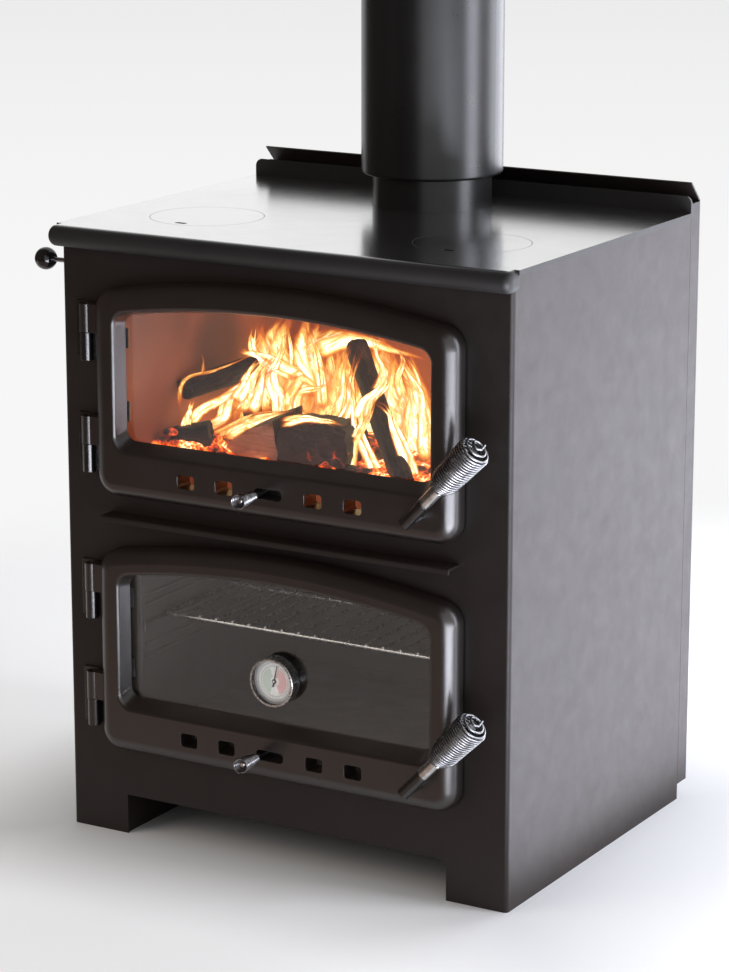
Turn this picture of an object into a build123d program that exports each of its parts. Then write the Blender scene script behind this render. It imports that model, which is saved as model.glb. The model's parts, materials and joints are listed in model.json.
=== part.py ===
from build123d import *
import math
import os

# Wood cook stove, millimetres. X to the right, Y to the rear, Z up.
# The origin is on the floor, under the middle of the body.

# Body
BODY_W = 620
BODY_D = 466
PANEL_TOP = 761
SHEET = 3
FRONT = -BODY_D / 2
BACK = BODY_D / 2
HALF_W = BODY_W / 2
INNER_W = HALF_W - SHEET
CORNER_RETURN = 10
CORNER_BEND = 5
REAR_INNER = BACK - 6

# Plinth and feet
PLINTH_H = 51
FOOT_INNER = 228
FOOT_CORNER = 12
RAIL_INNER = 230
RAIL_REAR_Y = 150

# Cooktop
TOP_T = 6
TOP_Z = PANEL_TOP + TOP_T
TOP_HALF_W = 317
TOP_REAR = FRONT + 455
NOSE_R = 13
NOSE_Y = FRONT - 11
NOSE_END_R = 9
UPSTAND_T = 4
UPSTAND_H = 21
UPSTAND_CORNER = 10
LID_X = 185
LID_Y = FRONT + 131
LID_R = 70
LID_GAP = 0.6
LID_RING_IN = 60
LID_RING_OUT = 74.5
LID_RING_T = 4
LIFT_R = 58
LIFT_SLOT = (16, 7, 4)

# Flue
FLUE_Y = FRONT + 364
FLUE_R = 75
FLUE_BORE_R = 73.5
FLUE_TOP = 1200
SOCKET_DEPTH = 60
BEAD_R = 71.5
BEAD_H = 8
SPIGOT_R = 73
SPIGOT_BORE_R = 70
SPIGOT_LOW = 735
SPIGOT_HIGH = 800
SPIGOT_FLANGE_R = 82
CASING_R = 89
CASING_T = 2
CASING_LOW = 806
CASING_TOP = 1160
CASING_LIP_R = 4

# Rear heat shield
SHIELD_GAP = 26
SHIELD_T = 2
SHIELD_LOW = 20
SHIELD_HIGH = 778
SHIELD_LEAN = 25
SHIELD_BACK = BACK + SHIELD_GAP
SPACER_R = 8
SPACER_SPOTS = [(-240, 100), (240, 100), (-240, 700), (240, 700)]

# Doors, both from one casting
DOOR_HALF_W = 251
DOOR_H = 278
DOOR_ARCH_R = 1250
DOOR_CORNER = 28
DOOR_RIM_R = 18
DOOR_FACE = 28
DOOR_REAR = 3
DOORS = {"fire": 440.5, "oven": 115.5}
OPENING_INSET = 22
WINDOW_FRONT = (219, 58, 247, 18)
WINDOW_REAR = (213, 70, 242, 14)
WINDOW_EDGE_R = 5
GLASS_FRONT = 8
GLASS_T = 4
GLASS_SIZE = (222, 61, 250.5, 13.5)
GLASS_PLAY = 0.5
SEAL_INSET = (8, 16)
SEAL_DEPTH = 3
SEAL_REAR_GAP = 0.3
AIR_HOLES_X = [-116, -62, 62, 116]
AIR_HOLE = (24, 17, 4)
AIR_Z = 33
AIR_SLOT = (38, 13, 5)

# Hinges
HINGE_X = -266
HINGE_Y = FRONT - 14
HINGE_SEAM_Z = [61, 200]
HINGE_HALF_H = 35
HINGE_GAP = 0.5
HINGE_PLATE = (-288, -256)
LUG_R = 8.5
KNUCKLE_R = 8
PIN_R = 4
PIN_PLAY = 0.05

# Door handles
HANDLE_X = 204
HANDLE_Z = 34
HANDLE_Y = FRONT - 53
HANDLE_ANGLE = 47
SPINDLE_R = 5
SPINDLE_PLAY = 0.05
SPINDLE_BACK = FRONT + 17
SOCKET_R = 7.5
SOCKET_SPAN = (-8, 32)
FERRULE_R = 7.9
FERRULE_END = 57
CORE_END = 128
GRIP_SPAN = (57.5, 137)
GRIP_R = (16.4, 18.8)
GRIP_NECK_R = 8.5
GRIP_WIRE_R = 1.5
GRIP_TURNS = 21
GRIP_HOLE_R = 4.5
GRIP_TAIL = 9
CAM_REST_ANGLE = 75
CAM_REACH = 46
CAM_W = 14
CAM_Y = (FRONT + 7.3, FRONT + 12.3)
CAM_HUB_R = 10
NUT_FLATS = 13
KEEPER_T = 4

# Air slides
SLIDE_TRAVEL = 24
SLIDE_HALF_L = 146
SLIDE_Z = (18.5, 47)
SLIDE_Y = (FRONT - 2.6, FRONT - 0.6)
SLIDE_ROD_R = 3
SLIDE_ROD_X = -12
SLIDE_ROD_TIP = FRONT - 71
KNOB_COIL_SPAN = (30, 4)
KNOB_COIL_R = 8.8
KNOB_COIL_NECK_R = 4.4
KNOB_COIL_WIRE_R = 1.2
KNOB_COIL_TURNS = 11

# Thermometer on the oven glass
GAUGE_Z = DOORS["oven"] + 124.5
GAUGE_R = 30.5
GAUGE_DEPTH = 16
GAUGE_WALL = 1.5
STEM_R = 3
STEM_BACK = FRONT + 55
ARBOR_R = 1.2
NEEDLE_L = 21
NEEDLE_ANGLE = 78

# Airwash control at the top left
ROD_Y = FRONT + 30
ROD_Z = 715
ROD_R = 3
ROD_HOLE_R = 3.6
ROD_TIP = -350
BALL_X = -356
BALL_R = 14
DUCT_Z = (698, 701)
DUCT_DEPTH = 50
DUCT_HALF_L = 255
WASH_PORTS_X = [-189 + 54 * i for i in range(8)]
WASH_PORT = (26, 16)
WASH_TRAVEL = 24
WASH_PLATE = (-233, 219)

# Firebox
BOX_HALF_W = 264
BOX_T = 4
BOX_FLOOR = 425
BOX_REAR = REAR_INNER - 8
BRICK_T = 25
BRICK_TOP = 690
BRICK_PLAY = 0.5
BRICK_FRONT = FRONT + 20
BAFFLE_T = 18
BAFFLE_FRONT = -110

# Oven
MOUTH_HALF_W = 260
MOUTH_DEPTH = 20
LINER_HALF_W = 216
LINER_T = 2
LINER_Z = (130, 382)
LINER_REAR = 150
RACK_Z = 276
RACK_HALF_W = 211
RACK_Y = (FRONT + 62, 138)
RACK_FRAME_R = 2.5
RACK_WIRE_R = 1.5
RACK_WIRES = 18
RACK_WIRE_SPAN = 203
RUNNER_W = 11
RIB_R = 2.5
RIB_Z = (229, 244, 295, 307, 345)

# Ash lip between the doors
LIP_HALF_W = 243
LIP_REACH = 26
LIP_Z = 416
LIP_T = 3
LIP_DROP = 7


def block(x0, x1, y0, y1, z0, z1):
    middle = ((x0 + x1) / 2, (y0 + y1) / 2, (z0 + z1) / 2)
    return Pos(*middle) * Box(x1 - x0, y1 - y0, z1 - z0)


def rod(start, end, radius):
    axis = Vector(*end) - Vector(*start)
    place = Plane(origin=start, z_dir=axis)
    return extrude(place * Circle(radius), amount=axis.length)


def rod_x(x0, x1, y, z, radius):
    return rod((x0, y, z), (x1, y, z), radius)


def rod_y(x, y0, y1, z, radius):
    return rod((x, y0, z), (x, y1, z), radius)


def rod_z(x, y, z0, z1, radius):
    return rod((x, y, z0), (x, y, z1), radius)


def tube_z(x, y, z0, z1, outer, inner):
    return rod_z(x, y, z0, z1, outer) - rod_z(x, y, z0 - 1, z1 + 1, inner)


def upright(sketch, y_front, y_back):
    """A flat sketch of X and Z, made a plate between two Y planes."""
    plane = Plane(origin=(0, y_back, 0), x_dir=(1, 0, 0), z_dir=(0, -1, 0))
    return extrude(plane * sketch, amount=y_back - y_front)


def arched(half_w, low, high, corner, radius=DOOR_ARCH_R):
    """An upright rectangle with a shallow arched top and round corners."""
    shoulder = high - radius + math.sqrt(radius**2 - half_w**2)
    sides = Polyline((-half_w, shoulder), (-half_w, low), (half_w, low), (half_w, shoulder))
    top = ThreePointArc((half_w, shoulder), (0, high), (-half_w, shoulder))
    face = make_face([*sides.edges(), top])
    return fillet(face.vertices(), corner)


def door_outline(z_low, inset):
    return arched(DOOR_HALF_W - inset, z_low + inset, z_low + DOOR_H - inset,
                  DOOR_CORNER - inset, DOOR_ARCH_R - inset)


def window_outline(z_low, size, grow=0.0):
    half_w, low, high, corner = size
    return arched(half_w + grow, z_low + low - grow, z_low + high + grow, corner + grow)


def hole_row(xs, z, size):
    width, height, corner = size
    return [Pos(x, z) * RectangleRounded(width, height, corner) for x in xs]


# Coils of wire

def joint_point(p0, t0, p1, t1):
    """Where two tangent arcs meet between two points with given directions."""
    chord = p1 - p0
    both = t0 + t1
    spread = 2 * (1 - t0.dot(t1))
    reach = (math.sqrt(chord.dot(both) ** 2 + spread * chord.dot(chord)) - chord.dot(both)) / spread
    return (p0 + t0 * reach + p1 - t1 * reach) * 0.5


def coil_point(place, turns, radius_at, height_at, share):
    angle = 2 * math.pi * turns * share
    radius = radius_at(share)
    flat = Vector(radius * math.cos(angle), radius * math.sin(angle), height_at(share))
    return place.from_local_coords(flat)


def coil(place, turns, radius_at, height_at, wire_r, tail, name):
    """One unbroken wire wound round a plane's axis, in two arcs to each half turn."""
    def at(share):
        return coil_point(place, turns, radius_at, height_at, share)

    def heading(share):
        step = 1e-5
        return (at(share + step) - at(share - step)).normalized()

    count = 2 * turns
    edges = []
    for i in range(count):
        p0 = at(i / count)
        p1 = at((i + 1) / count)
        middle = joint_point(p0, heading(i / count), p1, heading((i + 1) / count))
        first = Edge.make_tangent_arc(p0, heading(i / count), middle)
        second = Edge.make_tangent_arc(middle, first.tangent_at(1), p1)
        edges += [first, second]
    if tail:
        last = edges[-1]
        edges.append(Edge.make_line(last @ 1, (last @ 1) + (last % 1) * tail))
    path = Wire(edges)
    section = Plane(origin=path @ 0, z_dir=path % 0) * Circle(wire_r)
    print(name, "least gap to itself", round(coil_gap(edges, wire_r), 2), "mm")
    return sweep(section, path=path)


def coil_gap(edges, wire_r):
    """The least gap between stretches of wire at least half a turn apart, on points."""
    per_edge = 8
    points = [edge @ (i / per_edge) for edge in edges for i in range(per_edge)]
    apart = 2 * per_edge
    least = min(
        (points[i] - points[j]).length
        for i in range(len(points))
        for j in range(i + apart, min(i + 8 * apart, len(points)))
    )
    return least - 2 * wire_r


# Casing and base

def front_panel():
    shell = block(-HALF_W, HALF_W, FRONT, FRONT + CORNER_RETURN, 0, PANEL_TOP)
    corners = shell.edges().filter_by(Axis.Z).group_by(Axis.Y)[0]
    shell = fillet(corners, CORNER_BEND)
    shell -= block(-INNER_W, INNER_W, FRONT + SHEET, BACK, -1, PANEL_TOP + 1)
    for z_low in DOORS.values():
        shell -= upright(door_outline(z_low, OPENING_INSET), FRONT - 1, FRONT + SHEET + 1)
    cut = Rectangle(2 * FOOT_INNER, 2 * PLINTH_H)
    right_corner = cut.vertices().sort_by(Axis.Y)[-2:].sort_by(Axis.X)[-1]
    cut = fillet(right_corner, FOOT_CORNER)
    return shell - upright(cut, FRONT - 1, FRONT + SHEET + 1)


def side_panel(side):
    near, far = sorted([side * INNER_W, side * HALF_W])
    panel = block(near, far, FRONT + CORNER_RETURN, BACK, 0, PANEL_TOP)
    if side < 0:
        panel -= rod_x(near - 1, far + 1, ROD_Y, ROD_Z, ROD_HOLE_R)
    return panel


def rear_panel():
    return block(-INNER_W, INNER_W, REAR_INNER, REAR_INNER + SHEET, 0, PANEL_TOP)


def base_frame():
    front = FRONT + SHEET
    flange = block(-INNER_W, INNER_W, front, REAR_INNER, 0, SHEET)
    flange -= block(-RAIL_INNER, RAIL_INNER, front - 1, RAIL_REAR_Y, -1, SHEET + 1)
    outer = RAIL_INNER + SHEET
    web = block(-outer, outer, front, RAIL_REAR_Y + SHEET, SHEET, PLINTH_H)
    web -= block(-RAIL_INNER, RAIL_INNER, front - 1, RAIL_REAR_Y, 0, PLINTH_H + 1)
    return flange + web


def base_plate():
    return block(-INNER_W, INNER_W, FRONT + SHEET, REAR_INNER, PLINTH_H, PLINTH_H + SHEET)


# Cooktop

def cooktop():
    low, middle = TOP_Z - 2 * NOSE_R, TOP_Z - NOSE_R
    back = Polyline((NOSE_Y, TOP_Z), (FRONT, TOP_Z), (FRONT, low), (NOSE_Y, low))
    curve = ThreePointArc((NOSE_Y, low), (NOSE_Y - NOSE_R, middle), (NOSE_Y, TOP_Z))
    plane = Plane(origin=(-TOP_HALF_W, 0, 0), x_dir=(0, 1, 0), z_dir=(1, 0, 0))
    nose = extrude(plane * make_face([*back.edges(), curve]), amount=2 * TOP_HALF_W)
    nose = fillet(nose.edges().filter_by(GeomType.CIRCLE), NOSE_END_R)
    plate = block(-TOP_HALF_W, TOP_HALF_W, FRONT, TOP_REAR, PANEL_TOP, TOP_Z)
    rise = block(-TOP_HALF_W, TOP_HALF_W, TOP_REAR - UPSTAND_T, TOP_REAR, TOP_Z, TOP_Z + UPSTAND_H)
    top_corners = rise.edges().filter_by(Axis.Y).group_by(Axis.Z)[-1]
    rise = fillet(top_corners, UPSTAND_CORNER)
    top = nose + plate + rise
    for side in (-1, 1):
        top -= rod_z(side * LID_X, LID_Y, PANEL_TOP - 1, TOP_Z + 1, LID_R + LID_GAP)
    return top - rod_z(0, FLUE_Y, PANEL_TOP - 1, TOP_Z + 1, FLUE_R + 0.3)


def hotplate_lid(side):
    lid = rod_z(side * LID_X, LID_Y, PANEL_TOP, TOP_Z, LID_R)
    width, across, depth = LIFT_SLOT
    slot = Pos(side * LID_X, LID_Y - LIFT_R) * SlotOverall(width, across)
    lid -= extrude(Plane.XY.offset(TOP_Z - depth) * slot, amount=depth + 1)
    return lid


def lid_rings():
    low = PANEL_TOP - LID_RING_T
    return [tube_z(s * LID_X, LID_Y, low, PANEL_TOP, LID_RING_OUT, LID_RING_IN) for s in (-1, 1)]


# Flue

def flue_spigot():
    tube = rod_z(0, FLUE_Y, SPIGOT_LOW, SPIGOT_HIGH, SPIGOT_R)
    tube += rod_z(0, FLUE_Y, PANEL_TOP - SHEET, PANEL_TOP, SPIGOT_FLANGE_R)
    return tube - rod_z(0, FLUE_Y, SPIGOT_LOW - 1, SPIGOT_HIGH + 1, SPIGOT_BORE_R)


def flue_pipe():
    """A plain tube, with a bead inside its mouth where the next length of pipe stops."""
    pipe = tube_z(0, FLUE_Y, PANEL_TOP, FLUE_TOP, FLUE_R, FLUE_BORE_R)
    stop = FLUE_TOP - SOCKET_DEPTH
    slope = FLUE_BORE_R - BEAD_R
    section = Polyline(
        (FLUE_BORE_R + 0.5, stop), (FLUE_BORE_R, stop), (BEAD_R, stop - slope),
        (BEAD_R, stop - BEAD_H + slope), (FLUE_BORE_R, stop - BEAD_H),
        (FLUE_BORE_R + 0.5, stop - BEAD_H), close=True)
    bead = revolve(Plane.XZ * make_face(section), Axis.Z)
    return pipe + Pos(0, FLUE_Y, 0) * bead


def flue_casing():
    inner = CASING_R - CASING_T
    casing = tube_z(0, FLUE_Y, CASING_LOW, CASING_TOP, CASING_R, inner)
    casing += tube_z(0, FLUE_Y, CASING_LOW, CASING_LOW + CASING_T, CASING_R, inner - 6)
    rim = [e for e in casing.edges().filter_by(GeomType.CIRCLE).group_by(Axis.Z)[0]
           if e.radius > CASING_R - 1]
    return fillet(rim, CASING_LIP_R)


def casing_spacers():
    """Six short blocks, three to a level, between the flue and its casing."""
    pieces = []
    for level in (CASING_LOW + 60, CASING_TOP - 60):
        for i in range(3):
            turn = Rot(0, 0, 90 + 120 * i)
            leg = block(FLUE_R, CASING_R - CASING_T - 0.4, -8, 8, level, level + 14)
            leg -= rod_z(0, 0, level - 1, level + 15, FLUE_R)
            pieces.append(Pos(0, FLUE_Y, 0) * turn * leg)
    return pieces


# Rear heat shield

def rear_heat_shield():
    back, inner = SHIELD_BACK, SHIELD_BACK - SHIELD_T
    lean = SHIELD_LEAN
    section = Polyline(
        (back, SHIELD_LOW), (back, SHIELD_HIGH), (back - lean, SHIELD_HIGH + lean),
        (inner - lean, SHIELD_HIGH + lean - 1), (inner, SHIELD_HIGH - 1), (inner, SHIELD_LOW),
        close=True)
    plane = Plane(origin=(-HALF_W, 0, 0), x_dir=(0, 1, 0), z_dir=(1, 0, 0))
    shield = extrude(plane * make_face(section), amount=BODY_W)
    for side in (-1, 1):
        near, far = sorted([side * HALF_W, side * (HALF_W - SHIELD_T)])
        shield += block(near, far, BACK + 0.5, inner, SHIELD_LOW, SHIELD_HIGH - 2)
    for x, z in SPACER_SPOTS:
        shield -= rod_y(x, inner - 1, back + 1, z, PIN_R - 1)
    return shield


def shield_fixings():
    """Four spacer tubes, and the screws through them into the rear panel."""
    rear = REAR_INNER + SHEET
    inner = SHIELD_BACK - SHIELD_T
    pieces = []
    for x, z in SPACER_SPOTS:
        spacer = rod_y(x, rear, inner, z, SPACER_R) - rod_y(x, rear - 1, inner + 1, z, PIN_R - 1)
        screw = rod_y(x, rear, SHIELD_BACK, z, PIN_R - 1)
        head = rod_y(x, SHIELD_BACK, SHIELD_BACK + 4, z, 6)
        head = fillet(head.edges().group_by(Axis.Y)[-1], 2.5)
        pieces += [spacer, screw + head]
    return pieces


# Ash lip, hinges and keepers on the front panel

def ash_lip():
    front = FRONT - LIP_REACH
    lip = block(-LIP_HALF_W, LIP_HALF_W, front, FRONT, LIP_Z - LIP_T, LIP_Z)
    lip += block(-LIP_HALF_W, LIP_HALF_W, front, front + LIP_T, LIP_Z - LIP_DROP, LIP_Z)
    outer = lip.edges().filter_by(Axis.X).group_by(Axis.Z)[-1].sort_by(Axis.Y)[0]
    return fillet(outer, LIP_T - 0.5)


def hinge_knuckles():
    pieces = []
    for z_low in DOORS.values():
        for seam in HINGE_SEAM_Z:
            low = z_low + seam - HINGE_HALF_H
            high = z_low + seam - HINGE_GAP
            knuckle = rod_z(HINGE_X, HINGE_Y, low, high, KNUCKLE_R)
            knuckle += block(HINGE_X - 5, HINGE_X + 5, HINGE_Y, FRONT, low, high)
            knuckle += block(*HINGE_PLATE, FRONT - SHEET, FRONT, low, low + 2 * HINGE_HALF_H)
            knuckle -= rod_z(HINGE_X, HINGE_Y, low + 4, high + 1, PIN_R)
            pieces.append(knuckle)
    return pieces


def hinge_pins():
    pieces = []
    for z_low in DOORS.values():
        for seam in HINGE_SEAM_Z:
            low = z_low + seam - HINGE_HALF_H + 4
            pin = rod_z(HINGE_X, HINGE_Y, low, z_low + seam + HINGE_HALF_H - 2, PIN_R)
            pieces.append(chamfer(pin.edges().group_by(Axis.Z)[-1], 1))
    return pieces


def latch_keepers():
    front = FRONT + SHEET
    return [
        block(231, 250, front, front + KEEPER_T, z_low + HANDLE_Z - 13, z_low + HANDLE_Z + 13)
        for z_low in DOORS.values()
    ]


# Doors

def door_frame(z_low):
    face = FRONT - DOOR_FACE
    rear = FRONT - DOOR_REAR
    frame = upright(door_outline(z_low, 0), face, rear)
    frame = fillet(frame.faces().sort_by(Axis.Y)[0].outer_wire().edges(), DOOR_RIM_R)
    frame -= window_cut(z_low)
    window_edge = frame.faces().sort_by(Axis.Y)[0].inner_wires()[0].edges()
    frame = fillet(window_edge, WINDOW_EDGE_R)
    frame -= upright(window_outline(z_low, GLASS_SIZE, GLASS_PLAY), FRONT - GLASS_FRONT, rear + 1)
    groove = door_outline(z_low, SEAL_INSET[0]) - door_outline(z_low, SEAL_INSET[1])
    frame -= upright(groove, rear - SEAL_DEPTH, rear + 1)
    for hole in hole_row(AIR_HOLES_X, z_low + AIR_Z, AIR_HOLE):
        frame -= upright(hole, face - 1, rear + 1)
    frame -= upright(hole_row([0], z_low + AIR_Z, AIR_SLOT)[0], face - 1, rear + 1)
    frame -= rod_y(HANDLE_X, face - 1, rear + 1, z_low + HANDLE_Z, SPINDLE_R + SPINDLE_PLAY)
    for x, z in clip_spots(z_low):
        frame -= rod_y(x, rear - 6, rear + 1, z, 2)
    ledge_z = z_low + SLIDE_Z[0]
    frame += block(-150, 150, rear, FRONT - 0.6, ledge_z - 2.2, ledge_z - 0.3)
    for seam in HINGE_SEAM_Z:
        frame += hinge_lug(z_low + seam)
    for seam in HINGE_SEAM_Z:
        frame -= rod_z(HINGE_X, HINGE_Y, z_low + seam - 1, z_low + seam + HINGE_HALF_H + 1,
                       PIN_R + PIN_PLAY)
    return frame


def window_cut(z_low):
    """The sloped reveal, wider at the door's face than at the glass."""
    outlines = []
    for y, size in ((FRONT - DOOR_FACE, WINDOW_FRONT), (FRONT - GLASS_FRONT, WINDOW_REAR)):
        plane = Plane(origin=(0, y, 0), x_dir=(1, 0, 0), z_dir=(0, -1, 0))
        outlines.append(plane * window_outline(z_low, size))
    reveal = loft(outlines, ruled=True)
    through = upright(window_outline(z_low, WINDOW_REAR), FRONT - GLASS_FRONT, FRONT)
    return reveal + through


def hinge_lug(z_low):
    lug = rod_z(HINGE_X, HINGE_Y, z_low, z_low + HINGE_HALF_H, LUG_R)
    return lug + block(HINGE_X, -DOOR_HALF_W + 8, HINGE_Y - 6, HINGE_Y + 6, z_low, z_low + HINGE_HALF_H)


def clip_spots(z_low):
    return [(x, z_low + z) for x in (-229, 229) for z in (105, 195)]


def door_glass(z_low, stem_hole):
    pane = upright(window_outline(z_low, GLASS_SIZE), FRONT - GLASS_FRONT, FRONT - GLASS_FRONT + GLASS_T)
    if stem_hole:
        pane -= rod_y(0, FRONT - GLASS_FRONT - 1, FRONT, GAUGE_Z, STEM_R + 0.2)
    return pane


def door_seal(z_low):
    ring = door_outline(z_low, SEAL_INSET[0]) - door_outline(z_low, SEAL_INSET[1])
    return upright(ring, FRONT - DOOR_REAR - SEAL_DEPTH, FRONT - SEAL_REAR_GAP)


def door_fixings(z_low):
    """Four glass clips with their screws, and the strip that guides the slide plate."""
    rear = FRONT - DOOR_REAR
    pieces = []
    for x, z in clip_spots(z_low):
        side = 1 if x > 0 else -1
        inner, step, outer = side * 211, side * 221, side * 234
        clip = block(*sorted([inner, outer]), rear, rear + 1.5, z - 12, z + 12)
        clip += block(*sorted([inner, step]), rear - 1, rear, z - 12, z + 12)
        clip -= rod_y(x, rear - 2, rear + 2, z, 2)
        screw = rod_y(x, rear - 5, rear + 1.5, z, 1.9) + rod_y(x, rear + 1.5, rear + 2.5, z, 4)
        pieces += [clip, screw]
    high = z_low + SLIDE_Z[1]
    strip = block(-150, 150, rear, FRONT + 1.4, high + 0.3, high + 6)
    strip += block(-150, 150, FRONT - 0.2, FRONT + 1.4, high - 4, high + 6)
    return pieces + [strip]


# Door handles

def handle_point(z_low, along):
    angle = math.radians(HANDLE_ANGLE)
    return (HANDLE_X + along * math.cos(angle), HANDLE_Y, z_low + HANDLE_Z + along * math.sin(angle))


def handle_lever(z_low):
    z = z_low + HANDLE_Z
    socket = rod(handle_point(z_low, SOCKET_SPAN[0]), handle_point(z_low, SOCKET_SPAN[1]), SOCKET_R)
    lever = chamfer(socket.edges().filter_by(GeomType.CIRCLE), 1.2)
    lever += rod(handle_point(z_low, SOCKET_SPAN[1]), handle_point(z_low, CORE_END), SPINDLE_R)
    lever += rod_y(HANDLE_X, HANDLE_Y, FRONT - DOOR_FACE - 0.3, z, SPINDLE_R + 2)
    return lever + rod_y(HANDLE_X, HANDLE_Y, SPINDLE_BACK, z, SPINDLE_R)


def handle_ferrule(z_low):
    start = handle_point(z_low, SOCKET_SPAN[1])
    end = handle_point(z_low, FERRULE_END)
    ferrule = rod(start, end, FERRULE_R) - rod(start, end, SPINDLE_R)
    outer = [e for e in ferrule.edges().filter_by(GeomType.CIRCLE) if e.radius > SPINDLE_R + 1]
    return chamfer(outer, 0.8)


def handle_grip(z_low, name):
    """A barrel of wire: a neck at the ferrule, a body that widens, and an end that closes to a hole."""
    start = Vector(*handle_point(z_low, 0))
    place = Plane(origin=start, z_dir=Vector(*handle_point(z_low, 1)) - start)
    closing = 3 / GRIP_TURNS
    opening = 5 / GRIP_TURNS
    narrow, wide = GRIP_R

    def radius_at(share):
        if share < opening:
            rise = math.sin(math.pi / 2 * max(share, 0) / opening)
            return GRIP_NECK_R + (narrow - GRIP_NECK_R) * rise
        if share > 1 - closing:
            fall = 1 - math.cos(math.pi / 2 * (share - 1 + closing) / closing)
            return wide - (wide - GRIP_HOLE_R) * fall
        return narrow + (wide - narrow) * (share - opening) / (1 - closing - opening)

    def height_at(share):
        length = GRIP_SPAN[1] - GRIP_SPAN[0]
        return GRIP_SPAN[0] + GRIP_WIRE_R + (length - 2 * GRIP_WIRE_R) * share

    return coil(place, GRIP_TURNS, radius_at, height_at, GRIP_WIRE_R, GRIP_TAIL, name)


def latch_cam(z_low):
    angle = math.radians(CAM_REST_ANGLE)
    z = z_low + HANDLE_Z
    reach = CAM_REACH - CAM_W / 2
    arm = Pos(reach / 2, 0) * SlotCenterToCenter(reach, CAM_W)
    outline = Circle(CAM_HUB_R) + arm - Circle(SPINDLE_R)
    outline = Pos(HANDLE_X, z) * Rot(0, 0, math.degrees(angle)) * outline
    cam = upright(outline, *CAM_Y)
    nut = Pos(HANDLE_X, z) * (RegularPolygon(NUT_FLATS / 2, 6, major_radius=False) - Circle(SPINDLE_R))
    return [cam, upright(nut, CAM_Y[1], SPINDLE_BACK - 0.5)]


# Air slides in the doors

def slide_plate(z_low):
    low, high = (z_low + z for z in SLIDE_Z)
    plate = block(-SLIDE_HALF_L, SLIDE_HALF_L - SLIDE_TRAVEL, *SLIDE_Y, low, high)
    for hole in hole_row(AIR_HOLES_X, z_low + AIR_Z, AIR_HOLE):
        plate -= upright(hole, SLIDE_Y[0] - 1, SLIDE_Y[1] + 1)
    return plate


def slide_lever(z_low):
    lever = rod_y(SLIDE_ROD_X, SLIDE_ROD_TIP, SLIDE_Y[0], z_low + AIR_Z, SLIDE_ROD_R)
    return chamfer(lever.edges().group_by(Axis.Y)[0], 0.8)


def slide_grip(z_low, name):
    place = Plane(origin=(SLIDE_ROD_X, SLIDE_ROD_TIP, z_low + AIR_Z), z_dir=(0, -1, 0))

    def radius_at(share):
        return KNOB_COIL_NECK_R + (KNOB_COIL_R - KNOB_COIL_NECK_R) * min(max(share, 0), 1)**0.7

    def height_at(share):
        return -KNOB_COIL_SPAN[0] + (KNOB_COIL_SPAN[0] + KNOB_COIL_SPAN[1]) * share

    return coil(place, KNOB_COIL_TURNS, radius_at, height_at, KNOB_COIL_WIRE_R, 0, name)


# Thermometer

def thermometer_case():
    back = FRONT - GLASS_FRONT
    front = back - GAUGE_DEPTH
    case = rod_y(0, front, back, GAUGE_Z, GAUGE_R)
    case = fillet(case.edges().group_by(Axis.Y)[0], 1.5)
    case -= rod_y(0, front + GAUGE_WALL, back - GAUGE_WALL, GAUGE_Z, GAUGE_R - GAUGE_WALL)
    case -= rod_y(0, front - 1, front + GAUGE_WALL, GAUGE_Z, GAUGE_R - 3)
    return case - rod_y(0, back - GAUGE_WALL - 1, back + 1, GAUGE_Z, STEM_R)


def thermometer_dial():
    back = FRONT - GLASS_FRONT - 6
    dial = rod_y(0, back - 1, back, GAUGE_Z, GAUGE_R - GAUGE_WALL - 0.3)
    return dial + rod_y(0, back - 4, back - 1, GAUGE_Z, ARBOR_R)


def thermometer_needle():
    back = FRONT - GLASS_FRONT - 8
    outline = Polyline((-7, -1), (NEEDLE_L, -0.3), (NEEDLE_L, 0.3), (-7, 1), close=True)
    needle = make_face(outline) + Circle(3) - Circle(ARBOR_R + PIN_PLAY)
    return upright(Pos(0, GAUGE_Z) * Rot(0, 0, NEEDLE_ANGLE) * needle, back - 0.8, back)


def thermometer_lens():
    front = FRONT - GLASS_FRONT - GAUGE_DEPTH + GAUGE_WALL
    return rod_y(0, front, front + 1.2, GAUGE_Z, GAUGE_R - GAUGE_WALL - 0.1)


def thermometer_stem():
    """The sensing stem through the glass, and the nut that holds the case on."""
    front = FRONT - GLASS_FRONT - 3
    rear = FRONT - GLASS_FRONT + GLASS_T
    stem = rod_y(0, front, STEM_BACK, GAUGE_Z, STEM_R)
    nut = Pos(0, GAUGE_Z) * (RegularPolygon(6, 6, major_radius=False) - Circle(STEM_R))
    return [stem, upright(nut, rear, rear + 5)]


# Airwash control

def airwash_duct():
    rear = FRONT + DUCT_DEPTH
    duct = block(-DUCT_HALF_L, DUCT_HALF_L, FRONT + SHEET, rear, *DUCT_Z)
    duct += block(-DUCT_HALF_L, DUCT_HALF_L, rear - SHEET, rear, DUCT_Z[0], PANEL_TOP)
    for x in WASH_PORTS_X:
        duct -= block(x - WASH_PORT[0] / 2, x + WASH_PORT[0] / 2, ROD_Y - 14, ROD_Y - 14 + WASH_PORT[1],
                      DUCT_Z[0] - 1, DUCT_Z[1] + 1)
    return duct


def airwash_slide():
    low = DUCT_Z[1] + 0.3
    left, right = WASH_PLATE
    plate = block(left, right, FRONT + 8, FRONT + 42, low, low + 2)
    for x in WASH_PORTS_X:
        plate -= block(x - WASH_PORT[0] / 2, x + WASH_PORT[0] / 2, ROD_Y - 14, ROD_Y - 14 + WASH_PORT[1],
                       low - 1, low + 3)
    return plate + block(left, left + 4, ROD_Y - 6, ROD_Y + 6, low, ROD_Z + 6)


def airwash_rod():
    return rod_x(ROD_TIP, WASH_PLATE[0], ROD_Y, ROD_Z, ROD_R)


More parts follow.
